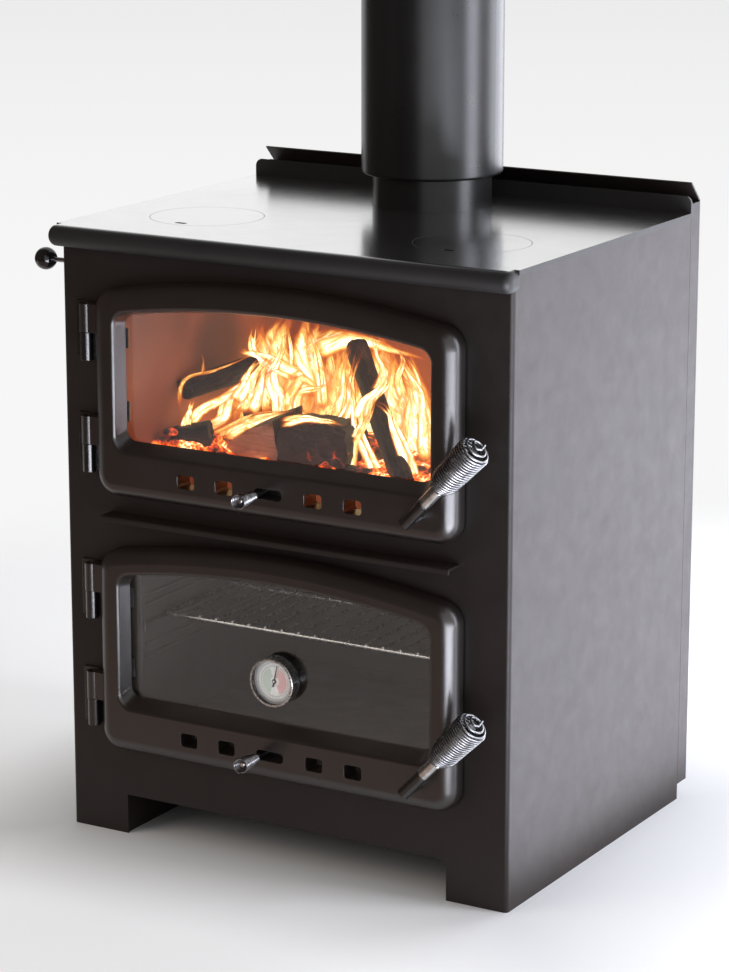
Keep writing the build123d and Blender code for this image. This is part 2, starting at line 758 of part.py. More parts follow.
def airwash_knob():
    ball = Pos(BALL_X, ROD_Y, ROD_Z) * Rot(0, 90, 0) * Sphere(BALL_R)
    ball -= block(BALL_X + BALL_R - 2, BALL_X + 2 * BALL_R, ROD_Y - 20, ROD_Y + 20, ROD_Z - 20, ROD_Z + 20)
    return ball - rod_x(ROD_TIP, BALL_X + 2 * BALL_R, ROD_Y, ROD_Z, ROD_R)


# Firebox

def firebox_shell():
    outer = block(-BOX_HALF_W, BOX_HALF_W, FRONT + SHEET, BOX_REAR, BOX_FLOOR, PANEL_TOP)
    inner = BOX_HALF_W - BOX_T
    shell = outer - block(-inner, inner, FRONT, BOX_REAR - BOX_T, BOX_FLOOR + BOX_T, TOP_Z)
    return shell - rod_x(-BOX_HALF_W - 1, -inner + 1, ROD_Y, ROD_Z, ROD_HOLE_R)


def firebrick_side(side):
    wall = BOX_HALF_W - BOX_T - BRICK_PLAY
    near, far = sorted([side * (wall - BRICK_T), side * wall])
    floor_top = BOX_FLOOR + BOX_T + BRICK_T
    return block(near, far, BRICK_FRONT, BOX_REAR - BOX_T - BRICK_T - BRICK_PLAY, floor_top, BRICK_TOP)


def firebrick_rear():
    wall = BOX_HALF_W - BOX_T - BRICK_PLAY
    rear = BOX_REAR - BOX_T
    return block(-wall, wall, rear - BRICK_T, rear, BOX_FLOOR + BOX_T + BRICK_T, BRICK_TOP)


def firebrick_floor():
    wall = BOX_HALF_W - BOX_T - BRICK_PLAY
    low = BOX_FLOOR + BOX_T
    return block(-wall, wall, FRONT + SHEET + BRICK_PLAY, BOX_REAR - BOX_T, low, low + BRICK_T)


def baffle():
    wall = BOX_HALF_W - BOX_T - BRICK_PLAY
    return block(-wall, wall, BAFFLE_FRONT, BOX_REAR - BOX_T - BRICK_PLAY, BRICK_TOP, BRICK_TOP + BAFFLE_T)


# Oven

def open_box(half_w, y_front, y_back):
    """A sheet box between the oven's two levels, open at its front."""
    low, high = LINER_Z
    outer = block(-half_w, half_w, y_front, y_back, low, high)
    inner = half_w - LINER_T
    return outer - block(-inner, inner, y_front - 1, y_back - LINER_T, low + LINER_T, high - LINER_T)


def oven_liner():
    """A wide mouth that clears the latch, then the narrower oven box behind it."""
    step = FRONT + MOUTH_DEPTH
    mouth = open_box(MOUTH_HALF_W, FRONT + SHEET, step)
    inner = LINER_HALF_W - LINER_T
    low, high = LINER_Z
    mouth -= block(-inner, inner, FRONT, step + 1, low + LINER_T, high - LINER_T)
    return mouth + open_box(LINER_HALF_W, step, LINER_REAR)


def oven_runners():
    """An angle strip along each side wall, under the rack, and half-round guide ribs above and below."""
    wall = LINER_HALF_W - LINER_T
    top = RACK_Z - RACK_FRAME_R
    front, rear = FRONT + MOUTH_DEPTH + 4, LINER_REAR - LINER_T
    pieces = []
    for side in (-1, 1):
        shelf = block(*sorted([side * wall, side * (wall - RUNNER_W)]), front, rear, top - 2, top)
        shelf += block(*sorted([side * wall, side * (wall - 2)]), front, rear, top - 14, top)
        pieces.append(shelf)
        inward = sorted([side * wall, side * (wall - 2 * RIB_R)])
        for z in RIB_Z:
            rod = rod_y(side * wall, front, rear, z, RIB_R)
            pieces.append(rod & block(*inward, front, rear, z - RIB_R, z + RIB_R))
    return pieces


def oven_rack():
    """A welded grid: a frame of thick wire, with thin wires from front to back over it."""
    front, rear = RACK_Y
    middle = (front + rear) / 2
    half_w = RACK_HALF_W - RACK_FRAME_R
    outline = RectangleRounded(2 * half_w, rear - front, 4 * RACK_FRAME_R)
    path = (Pos(0, middle, RACK_Z) * outline).wire()
    rack = sweep(Plane(origin=path @ 0, z_dir=path % 0) * Circle(RACK_FRAME_R), path=path)
    rack += rod_x(-half_w, half_w, middle, RACK_Z, RACK_FRAME_R - 0.2)
    pitch = 2 * RACK_WIRE_SPAN / (RACK_WIRES - 1)
    lift = RACK_Z + RACK_FRAME_R + RACK_WIRE_R - 0.8
    for i in range(RACK_WIRES):
        x = -RACK_WIRE_SPAN + pitch * i
        rack += rod_y(x, front - 2, rear + 2, lift, RACK_WIRE_R)
    return rack


os.makedirs("parts", exist_ok=True)

nodes = {
    "front_panel": front_panel(),
    "side_panel_left": side_panel(-1),
    "side_panel_right": side_panel(1),
    "rear_panel": rear_panel(),
    "base_frame": base_frame(),
    "base_plate": base_plate(),
    "cooktop": cooktop(),
    "hotplate_rings": lid_rings(),
    "hotplate_lid_left": hotplate_lid(-1),
    "hotplate_lid_right": hotplate_lid(1),
    "flue_spigot": flue_spigot(),
    "flue_pipe": flue_pipe(),
    "flue_casing": flue_casing(),
    "casing_spacers": casing_spacers(),
    "rear_heat_shield": rear_heat_shield(),
    "shield_fixings": shield_fixings(),
    "ash_lip": ash_lip(),
    "hinge_knuckles": hinge_knuckles(),
    "hinge_pins": hinge_pins(),
    "latch_keepers": latch_keepers(),
    "firebox_shell": firebox_shell(),
    "firebrick_left": firebrick_side(-1),
    "firebrick_right": firebrick_side(1),
    "firebrick_rear": firebrick_rear(),
    "firebrick_floor": firebrick_floor(),
    "baffle": baffle(),
    "oven_liner": oven_liner(),
    "oven_runners": oven_runners(),
    "oven_rack": oven_rack(),
    "airwash_duct": airwash_duct(),
    "airwash_slide": airwash_slide(),
    "airwash_rod": airwash_rod(),
    "airwash_knob": airwash_knob(),
    "thermometer_case": thermometer_case(),
    "thermometer_dial": thermometer_dial(),
    "thermometer_needle": thermometer_needle(),
    "thermometer_lens": thermometer_lens(),
    "thermometer_stem": thermometer_stem(),
}
for door, door_z in DOORS.items():
    nodes[f"{door}_door_frame"] = door_frame(door_z)
    nodes[f"{door}_door_glass"] = door_glass(door_z, door == "oven")
    nodes[f"{door}_door_seal"] = door_seal(door_z)
    nodes[f"{door}_door_fixings"] = door_fixings(door_z)
    nodes[f"{door}_handle_lever"] = handle_lever(door_z)
    nodes[f"{door}_handle_ferrule"] = handle_ferrule(door_z)
    nodes[f"{door}_handle_grip"] = handle_grip(door_z, f"{door}_handle_grip")
    nodes[f"{door}_latch_cam"] = latch_cam(door_z)
    nodes[f"{door}_slide_plate"] = slide_plate(door_z)
    nodes[f"{door}_slide_lever"] = slide_lever(door_z)
    nodes[f"{door}_slide_grip"] = slide_grip(door_z, f"{door}_slide_grip")

for name, shape in nodes.items():
    if isinstance(shape, list):
        shape = Compound(children=[Compound(s.wrapped) if not s.solids() else s.solid() for s in shape])
    export_step(shape, f"parts/{name}.step")
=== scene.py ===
import json
import math
import random

import bmesh
import bpy
from mathutils import Euler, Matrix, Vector, noise


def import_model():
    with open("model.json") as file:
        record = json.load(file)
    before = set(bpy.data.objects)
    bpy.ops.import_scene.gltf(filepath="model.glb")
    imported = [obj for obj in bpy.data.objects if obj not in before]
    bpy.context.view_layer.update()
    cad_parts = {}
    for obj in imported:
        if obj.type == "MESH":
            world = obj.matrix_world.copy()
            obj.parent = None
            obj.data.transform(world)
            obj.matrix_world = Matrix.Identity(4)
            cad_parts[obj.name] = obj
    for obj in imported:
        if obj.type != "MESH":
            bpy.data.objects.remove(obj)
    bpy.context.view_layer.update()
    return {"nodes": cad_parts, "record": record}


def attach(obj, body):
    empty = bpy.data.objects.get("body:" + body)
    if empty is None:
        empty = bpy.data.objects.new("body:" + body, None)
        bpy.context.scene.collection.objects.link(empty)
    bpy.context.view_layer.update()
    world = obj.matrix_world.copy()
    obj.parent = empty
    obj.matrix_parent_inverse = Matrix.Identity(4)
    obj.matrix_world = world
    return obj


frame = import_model()
nodes = frame["nodes"]
scene = bpy.context.scene
scene.view_settings.view_transform = "Standard"

# Camera, at the photograph's viewing angle
CAMERA_AT = (1.998, -3.4252, 1.4251)
CAMERA_TURN = (75.882, 0.0, 30.522)
CAMERA_LENS = 121.28
SENSOR = 36.0
PICTURE = (729, 972)

# Floor and background, with the distances over which one fades into the other
FLOOR_SIZE = 40.0
FLOOR_BOUNCE = 0.8
FLOOR_SEEN = 0.93
FLOOR_GLOW = 0.3
# painted shadow: the floor's glow is left out under the stove and fades in over this band outside its
# footprint
PAINTED_SHADOW_EDGE = (-0.03, 0.24)
STOVE_HALF = (0.31, 0.233)
BACKGROUND = (0.93, 0.84)
HORIZON = (3.5, 10.0)
FADE = (1.0, 1.75)
WORLD_FILL = 0.3

# Lamps and flags
COOL = (0.86, 0.885, 1.0)
WARM = (1.0, 0.88, 0.8)
FLAME_TINT = (1.0, 0.47, 0.2)
OVEN_TINT = (1.0, 0.88, 0.74)
FLAG_TINT = (1.0, 0.74, 0.62, 1.0)
LAMP_AIM = (0.0, 0.0, 0.5)
FIRE_LAMP_R = 0.03
CARD_LIFT = 0.003
FLAG_R = 2.5
FLAG_TOP = 2.6
FLAG_LIFT = 0.01

# Firebox, as packed, with the soot on its bricks
FIRE_HALF_W = 0.2345
FIRE_REAR = 0.19
FIRE_TOP = 0.686
FIRE_GAP = 0.004
SOOT_Z = (0.56, 0.70)
SMOKED_AT = (-0.234, -0.005, 0.584)
SMOKED_R = (0.025, 0.1)

# Dial, from its centre outwards, with its sectors in radians from its right-hand side
GAUGE_Z = 0.24
DIAL_SECTORS = (0.006, 0.0172)
DIAL_RED = (-1.15, 1.25)
DIAL_GREEN = (1.95, 1.99)
DIAL_RING = (0.0184, 0.0189)
DIAL_TICKS = (0.0195, 0.0222)
DIAL_TICK_COUNT = 40
DIAL_RIM = (0.0228, 0.0234)
DIAL_SHADE = (0.0232, 0.0262)

# Ember bed, its heap on the left, and the corner where it lies low in front of the logs
BED_X = (-0.232, 0.232)
BED_Y = (-0.165, 0.186)
BED_Z = 0.4543
BED_GRID = (96, 72)
BED_DEPTH = 0.006
BED_MARGIN = 0.012
HEAP_AT = (-0.21, -0.11)
HEAP_R = (0.055, 0.07)
HEAP_H = 0.026
LOW_FROM = (-0.19, -0.045)
LOOSE_COALS = 110
COAL_R = (0.004, 0.0085)
HOT_COAL_R = (0.006, 0.009)
HOT_COALS = [
    (156, 444, -150), (163, 441, -145), (171, 431, -138), (175, 443, -140), (188, 450, -135),
    (213, 448, -105), (325, 467, -75), (330, 470, -72),
]

# Firewood
LOG_PARTS = 4
LOG_RINGS = 26
LOG_END = (0.02, 0.4, 0.75, 0.95, 1.0)
LOG_ROUGH = 0.13
LOG_LUMPS = (30, 110)
LOG_END_ROUGH = 0.002
GRAIN_STEP = 0.0045
OUTLINE_POINTS = 12
CHARRED, PALE = 0, 1

# Flames: strips, width and heat, stray, and a line as places in the picture with depths; in mm
FLAME_STEPS = 30
FLAME_PARTS = 6
FLAME_FLOW = (26, 52)
FLAME_LAYERS = 32
FIRE_MIDDLE = (270, 400, 0)
REAR_FLAMES = [
    (3, 80, 0.68, 10, [(300, 440, 100), (294, 400, 110), (302, 360, 120), (308, 312, 130)]),
    (3, 80, 0.7, 10, [(325, 440, 110), (335, 400, 120), (340, 360, 130), (352, 315, 140)]),
    (4, 80, 0.78, 10, [(365, 455, 110), (370, 405, 120), (378, 362, 130), (372, 320, 140)]),
    (4, 80, 0.85, 10, [(400, 470, 100), (404, 415, 110), (402, 380, 120), (390, 330, 130)]),
    (4, 60, 0.9, 10, [(420, 470, 60), (422, 420, 70), (416, 380, 80), (404, 340, 90)]),
    (3, 44, 0.85, 12, [(312, 352, 80), (335, 342, 90), (365, 340, 100), (400, 350, 110), (440, 366, 120)]),
    (3, 60, 0.8, 8, [(256, 420, 40), (258, 380, 50), (262, 348, 60), (268, 312, 70)]),
    (3, 66, 0.85, 10, [(280, 400, 60), (276, 365, 70), (280, 335, 80), (296, 300, 90)]),
    (3, 60, 0.85, 8, [(306, 400, 70), (304, 365, 75), (306, 335, 80), (318, 300, 90)]),
    (3, 26, 0.9, 6, [(300, 376, 40), (272, 362, 35), (252, 354, 25), (238, 347, 20)]),
    (2, 50, 0.6, 8, [(230, 425, -20), (243, 400, 0), (262, 372, 20), (280, 345, 40)]),
]
MIDDLE_FLAMES = [
    (4, 24, 1.05, 5, [(283, 424, 30), (280, 400, 30), (274, 376, 35), (284, 352, 40), (290, 330, 45)]),
    (4, 18, 1.0, 6, [(190, 426, -95), (203, 410, -70), (221, 400, -30), (243, 385, 0), (266, 374, 20),
                     (292, 362, 40)]),
    (4, 16, 0.95, 6, [(204, 428, -80), (222, 420, -40), (227, 403, -20), (240, 390, 0), (262, 377, 10),
                      (282, 356, 25)]),
    (3, 13, 0.7, 5, [(211, 438, -70), (232, 427, -45), (252, 418, -20), (277, 413, 0), (300, 419, 10)]),
    (3, 11, 0.55, 5, [(216, 455, -60), (241, 438, -40), (263, 427, -20), (284, 417, 0)]),
    (2, 7, 0.62, 3, [(181, 412, -112), (181, 388, -112), (189, 375, -105), (210, 370, -80), (232, 362, -50),
                     (252, 354, -20), (280, 348, 10)]),
    (3, 15, 0.95, 4, [(183, 430, -112), (187, 414, -112), (193, 396, -108)]),
    (1, 6, 0.5, 3, [(202, 376, -95), (205, 364, -92), (201, 350, -90)]),
    (3, 16, 0.9, 5, [(272, 366, 40), (256, 354, 45), (249, 338, 50), (256, 316, 55)]),
    (2, 12, 0.95, 4, [(294, 384, 60), (291, 352, 65), (287, 316, 70)]),
    (3, 14, 1.0, 4, [(323, 412, 50), (321, 380, 55), (316, 350, 60), (302, 318, 65)]),
    (4, 22, 0.8, 7, [(300, 424, 40), (291, 399, 40), (303, 377, 45), (316, 390, 45), (320, 420, 40)]),
    (3, 16, 0.85, 6, [(310, 424, 20), (296, 410, 25), (300, 392, 30), (322, 384, 35), (326, 360, 40)]),
]
FRONT_FLAMES = [
    (4, 15, 0.85, 6, [(332, 432, 0), (341, 400, 10), (343, 370, 20), (356, 334, 30)]),
    (4, 14, 0.95, 6, [(339, 434, 0), (352, 406, 5), (353, 380, 10), (368, 340, 20)]),
    (3, 15, 1.0, 6, [(370, 402, 10), (384, 374, 15), (377, 352, 20), (373, 322, 25)]),
    (4, 18, 1.0, 6, [(386, 490, -40), (374, 460, -35), (360, 428, -25), (357, 394, -15), (346, 356, 0)]),
    (4, 18, 0.85, 6, [(348, 482, -40), (353, 448, -35), (364, 418, -25), (366, 385, -20)]),
    (3, 18, 1.05, 5, [(418, 490, -50), (409, 460, -45), (398, 432, -40), (391, 410, -35), (374, 400, -30)]),
    (4, 22, 0.95, 6, [(426, 470, -20), (424, 415, -15), (413, 378, -10), (390, 346, 0)]),
    (4, 26, 1.0, 6, [(246, 416, -30), (256, 396, -28), (262, 374, -26), (280, 346, -20)]),
    (3, 22, 1.0, 5, [(236, 404, -40), (246, 388, -40), (256, 368, -38), (272, 352, -30)]),
    (3, 18, 1.0, 5, [(362, 424, -30), (368, 402, -30), (384, 386, -30), (392, 362, -25)]),
    (4, 13, 1.0, 5, [(279, 424, -72), (303, 419, -72), (326, 421, -72), (348, 428, -70)]),
    (3, 18, 0.9, 5, [(222, 438, -74), (246, 425, -66), (272, 415, -58), (302, 408, -50)]),
    (2, 12, 0.9, 5, [(404, 400, 0), (398, 380, 5), (406, 360, 10), (396, 340, 15)]),
]


# Node materials

class Shader:
    """A node material, or the world's nodes, built from its coordinates to its surface."""

    def __init__(self, name, kind=bpy.data.materials):
        self.owner = kind.new(name)
        self.owner.use_nodes = True
        self.tree = self.owner.node_tree
        self.tree.nodes.clear()
        self.here = self.add("ShaderNodeTexCoord").outputs["Object"]

    def add(self, kind, inputs=None, **settings):
        made = self.tree.nodes.new(kind)
        for key, value in settings.items():
            setattr(made, key, value)
        for key, value in (inputs or {}).items():
            if isinstance(value, bpy.types.NodeSocket):
                self.tree.links.new(value, made.inputs[key])
            else:
                made.inputs[key].default_value = value
        return made

    def math(self, operation, a, b=0.0, clamp=False):
        return self.add("ShaderNodeMath", {0: a, 1: b}, operation=operation, use_clamp=clamp).outputs[0]

    def span(self, value, start, end, low=0.0, high=1.0, smooth=False):
        kind = "SMOOTHSTEP" if smooth else "LINEAR"
        inputs = {"Value": value, "From Min": start, "From Max": end, "To Min": low, "To Max": high}
        return self.add("ShaderNodeMapRange", inputs, interpolation_type=kind).outputs["Result"]

    def scaled(self, scale, vector=None):
        inputs = {"Vector": vector or self.here, "Scale": scale}
        return self.add("ShaderNodeMapping", inputs).outputs["Vector"]

    def noise(self, scale, detail=2.0, rough=0.5, vector=None, warp=0.0):
        inputs = {"Vector": vector or self.here, "Scale": scale, "Detail": detail,
                  "Roughness": rough, "Distortion": warp}
        return self.add("ShaderNodeTexNoise", inputs).outputs["Fac"]

    def cells(self, scale, vector=None, feature="DISTANCE_TO_EDGE"):
        inputs = {"Vector": vector or self.here, "Scale": scale}
        return self.add("ShaderNodeTexVoronoi", inputs, feature=feature).outputs["Distance"]

    def ramp(self, value, stops):
        made = self.add("ShaderNodeValToRGB", {"Fac": value})
        ramp = made.color_ramp
        for i, (place, colour) in enumerate(stops):
            stop = ramp.elements[i] if i < 2 else ramp.elements.new(place)
            stop.position = place
            stop.color = (*colour, 1.0)
        return made.outputs["Color"]

    def blend(self, share, a, b):
        made = self.add("ShaderNodeMix", {0: share}, data_type="RGBA")
        for key, value in ((6, a), (7, b)):
            if isinstance(value, bpy.types.NodeSocket):
                self.tree.links.new(value, made.inputs[key])
            else:
                made.inputs[key].default_value = (*value, 1.0)
        return made.outputs[2]

    def bump(self, height, strength, distance, normal=None):
        inputs = {"Height": height, "Strength": strength, "Distance": distance}
        if normal:
            inputs["Normal"] = normal
        return self.add("ShaderNodeBump", inputs).outputs["Normal"]

    def soft_edges(self, radius):
        return self.add("ShaderNodeBevel", {"Radius": radius}, samples=4).outputs["Normal"]

    def axes(self, vector=None):
        made = self.add("ShaderNodeSeparateXYZ", {"Vector": vector or self.here})
        return made.outputs[0], made.outputs[1], made.outputs[2]

    def facing(self):
        return self.axes(self.add("ShaderNodeNewGeometry").outputs["True Normal"])

    def surface(self, shader, output="ShaderNodeOutputMaterial"):
        self.add(output, {"Surface": shader})
        return self.owner

    def principled(self, **inputs):
        named = {key.replace("_", " "): value for key, value in inputs.items()}
        return self.add("ShaderNodeBsdfPrincipled", named).outputs[0]


def paint(name, dark, light, roughness, shine, grain, peel=0.0, patches=9.0):
    """Stove paint: two close tones in patches, a fine grain, and a cast texture where it has peel."""
    s = Shader(name)
    wide = s.noise(patches, 4.0, 0.6)
    tone = s.ramp(wide, [(0.32, dark), (0.68, light)])
    fine = s.noise(1400.0, 2.0, 0.6)
    smudge = s.noise(38.0, 5.0, 0.62, warp=0.4)
    uneven = s.math("ADD", s.math("MULTIPLY", smudge, 0.75), s.math("MULTIPLY", fine, 0.25))
    rough = s.span(uneven, 0.3, 0.7, *roughness)
    normal = s.bump(fine, grain, 0.0004, s.soft_edges(0.0011))
    if peel:
        normal = s.bump(s.noise(330.0, 3.0, 0.55), peel, 0.0012, normal)
    shader = s.principled(Base_Color=tone, Roughness=rough, Normal=normal)
    shader.node.inputs["Specular IOR Level"].default_value = shine
    return s.surface(shader)


def cooktop_steel():
    """Semi-gloss black plate with faint scuffs; its nose and edges are duller than its top."""
    s = Shader("cooktop_steel")
    top = s.span(s.facing()[2], 0.9, 0.98)
    tone = s.ramp(s.noise(7.0, 4.0, 0.6), [(0.3, (0.017, 0.016, 0.016)), (0.7, (0.024, 0.022, 0.022))])
    rolled = s.noise(26.0, 5.0, 0.65, s.scaled((1.0, 9.0, 1.0)))
    scuffs = s.noise(420.0, 3.0, 0.6, s.scaled((0.05, 1.0, 1.0)))
    cloud = s.noise(11.0, 4.0, 0.6, warp=0.8)
    uneven = s.math("ADD", s.math("MULTIPLY", rolled, 0.5), s.math("MULTIPLY", cloud, 0.5))
    polished = s.span(uneven, 0.3, 0.7, 0.15, 0.25)
    rough = s.math("ADD", polished, s.span(top, 0.0, 1.0, 0.36, 0.0))
    fine = s.bump(s.noise(900.0, 2.0), 0.05, 0.0003, s.soft_edges(0.0008))
    normal = s.bump(scuffs, 0.02, 0.0004, fine)
    shader = s.principled(Base_Color=tone, Roughness=rough, Normal=normal, Coat_Weight=top)
    shader.node.inputs["Coat Roughness"].default_value = 0.16
    return s.surface(shader)


def flue_paint():
    """Satin black on drawn pipe, with faint upright streaks."""
    s = Shader("flue_paint")
    streaks = s.noise(70.0, 4.0, 0.6, s.scaled((1.0, 1.0, 0.04)))
    tone = s.ramp(streaks, [(0.3, (0.010, 0.010, 0.0108)), (0.7, (0.015, 0.015, 0.0162))])
    fine = s.noise(1300.0, 2.0, 0.6)
    rough = s.span(s.noise(30.0, 5.0, 0.65), 0.3, 0.7, 0.27, 0.31)
    normal = s.bump(fine, 0.06, 0.0003, s.soft_edges(0.0012))
    normal = s.bump(streaks, 0.02, 0.0006, normal)
    shader = s.principled(Base_Color=tone, Roughness=rough, Normal=normal)
    shader.node.inputs["Specular IOR Level"].default_value = 0.6
    return s.surface(shader)


def metal(name, tone, roughness, brushed=(1.0, 1.0, 1.0), wear=0.25):
    """Bare or plated metal with fine scratches and dull patches."""
    s = Shader(name)
    patches = s.noise(120.0, 4.0, 0.65)
    low = tuple(c * (1.0 - wear) for c in tone)
    colour = s.ramp(patches, [(0.35, low), (0.65, tone)])
    fine = s.noise(1500.0, 3.0, 0.6, s.scaled(brushed))
    rough = s.span(s.math("ADD", patches, s.math("MULTIPLY", fine, 0.4)), 0.4, 1.0, *roughness)
    normal = s.bump(fine, 0.1, 0.0003)
    return s.surface(s.principled(Base_Color=colour, Metallic=1.0, Roughness=rough, Normal=normal))


def inner_steel():
    """Dull enamelled sheet inside the oven and the firebox."""
    s = Shader("inner_steel")
    tone = s.ramp(s.noise(14.0, 5.0, 0.65), [(0.3, (0.034, 0.031, 0.029)), (0.7, (0.058, 0.053, 0.049))])
    speck = s.span(s.noise(900.0, 1.0), 0.68, 0.74)
    colour = s.blend(speck, tone, (0.12, 0.115, 0.11))
    rough = s.span(s.noise(40.0, 4.0, 0.6), 0.3, 0.7, 0.34, 0.5)
    normal = s.bump(s.noise(700.0, 2.0), 0.02, 0.0003, s.soft_edges(0.001))
    return s.surface(s.principled(Base_Color=colour, Roughness=rough, Normal=normal))


def firebrick():
    """Pressed brick: sandy grain, darker pits, soot that thickens upwards, and a smoked patch."""
    s = Shader("firebrick")
    base = s.ramp(s.noise(12.0, 5.0, 0.6), [(0.3, (0.36, 0.135, 0.072)), (0.7, (0.44, 0.176, 0.098))])
    sand = s.noise(420.0, 4.0, 0.7)
    grained = s.blend(s.span(sand, 0.56, 0.7, 0.0, 0.08), base, (0.6, 0.36, 0.24))
    pits = s.span(s.cells(190.0, feature="F1"), 0.0, 0.16, 1.0, 0.0)
    pitted = s.blend(s.math("MULTIPLY", pits, 0.3), grained, (0.14, 0.06, 0.04))
    high = s.span(s.axes()[2], *SOOT_Z, 0.0, 0.62)
    uneven = s.math("ADD", high, s.span(s.noise(9.0, 4.0, 0.6), 0.35, 0.7, -0.12, 0.16))
    away = s.add("ShaderNodeVectorMath", {0: s.here, 1: SMOKED_AT}, operation="DISTANCE").outputs["Value"]
    smoked = s.span(away, *SMOKED_R, 0.8, 0.0, True)
    soot = s.math("MAXIMUM", s.math("MAXIMUM", uneven, 0.0, True), smoked)
    sooty = s.blend(soot, pitted, (0.05, 0.035, 0.03))
    rough = s.span(sand, 0.3, 0.7, 0.82, 0.95)
    height = s.math("SUBTRACT", s.math("MULTIPLY", sand, 0.5), s.math("MULTIPLY", pits, 0.6))
    normal = s.bump(height, 0.05, 0.0008, s.soft_edges(0.0015))
    return s.surface(s.principled(Base_Color=sooty, Roughness=rough, Normal=normal))


def pane(name, tint, film):
    """Stove glass with a faint uneven film, clear for shadows."""
    s = Shader(name)
    smear = s.noise(16.0, 5.0, 0.65, s.scaled((1.0, 1.0, 0.5)), 1.2)
    rough = s.span(smear, 0.45, 0.75, *film)
    glass = s.principled(Base_Color=(*tint, 1.0), Roughness=rough)
    glass.node.inputs["IOR"].default_value = 1.47
    glass.node.inputs["Transmission Weight"].default_value = 1.0
    clear = s.add("ShaderNodeBsdfTransparent", {"Color": (*tint, 1.0)}).outputs[0]
    shadow = s.add("ShaderNodeLightPath").outputs["Is Shadow Ray"]
    mixed = s.add("ShaderNodeMixShader", {0: shadow, 1: glass, 2: clear}).outputs[0]
    return s.surface(mixed)


def rope():
    """Braided glass-fibre rope: two crossing rows of strands."""
    s = Shader("rope_seal")
    wave = {"Scale": 260.0, "Distortion": 1.5, "Detail": 2.0}
    one = s.add("ShaderNodeTexWave", {**wave, "Vector": s.here}, bands_direction="DIAGONAL").outputs["Fac"]
    turned = s.scaled((-1.0, 1.0, 1.0))
    two = s.add("ShaderNodeTexWave", {**wave, "Vector": turned}, bands_direction="DIAGONAL").outputs["Fac"]
    braid = s.math("MAXIMUM", one, two)
    tone = s.ramp(braid, [(0.3, (0.07, 0.065, 0.06)), (0.9, (0.2, 0.19, 0.175))])
    normal = s.bump(braid, 0.7, 0.0012)
    return s.surface(s.principled(Base_Color=tone, Roughness=0.9, Normal=normal))


def gauge_case():
    """Brushed steel on the rim that faces the room; round the side, painted shade: a near-black colour and no
    metal where the case turns away from the front.
    """
    s = Shader("gauge_chrome")
    front = s.span(s.facing()[1], -0.75, -0.35, 1.0, 0.0)
    patches = s.noise(260.0, 4.0, 0.65)
    steel = s.ramp(patches, [(0.35, (0.5, 0.5, 0.5)), (0.65, (0.66, 0.66, 0.66))])
    # painted shade: the case's side, turned away from the front, gets a near-black colour and no metal
    colour = s.blend(front, (0.03, 0.028, 0.028), steel)
    rough = s.span(patches, 0.3, 0.7, 0.2, 0.34)
    normal = s.bump(s.noise(1500.0, 3.0, 0.6), 0.1, 0.0003)
    return s.surface(s.principled(Base_Color=colour, Metallic=front, Roughness=rough, Normal=normal))


def gauge_face():
    """A cream dial with a fine ring, plain ticks, and a pale green and a pale red sector."""
    s = Shader("gauge_face")
    x, _, z = s.axes()
    up = s.math("SUBTRACT", z, GAUGE_Z)
    radius = s.math("SQRT", s.math("ADD", s.math("MULTIPLY", x, x), s.math("MULTIPLY", up, up)))
    angle = s.math("ARCTAN2", up, x)
    paper = s.ramp(s.noise(700.0, 3.0), [(0.3, (0.62, 0.61, 0.58)), (0.7, (0.72, 0.71, 0.68))])

    def between(value, low, high, soft):
        rise = s.span(value, low - soft, low + soft)
        fall = s.span(value, high - soft, high + soft, 1.0, 0.0)
        return s.math("MULTIPLY", rise, fall)

    sector = between(radius, *DIAL_SECTORS, 0.0003)
    red = s.math("MULTIPLY", sector, between(angle, *DIAL_RED, 0.02))
    green = s.math("MULTIPLY", sector, s.span(s.math("ABSOLUTE", angle), *DIAL_GREEN))
    with_red = s.blend(red, paper, (0.58, 0.34, 0.33))
    with_green = s.blend(green, with_red, (0.44, 0.5, 0.42))
    turns = s.math("MULTIPLY", angle, DIAL_TICK_COUNT / (2.0 * math.pi))
    tick = s.span(s.math("PINGPONG", turns, 0.5), 0.05, 0.09, 1.0, 0.0)
    tick = s.math("MULTIPLY", tick, between(radius, *DIAL_TICKS, 0.0002))
    ring = between(radius, *DIAL_RING, 0.0002)
    rim = between(radius, *DIAL_RIM, 0.0002)
    marks = s.math("MAXIMUM", s.math("MAXIMUM", tick, ring), rim)
    shaded = s.blend(s.span(radius, *DIAL_SHADE), with_green, (0.3, 0.3, 0.3))
    colour = s.blend(s.math("MULTIPLY", marks, 0.85), shaded, (0.03, 0.03, 0.03))
    return s.surface(s.principled(Base_Color=colour, Roughness=0.45))


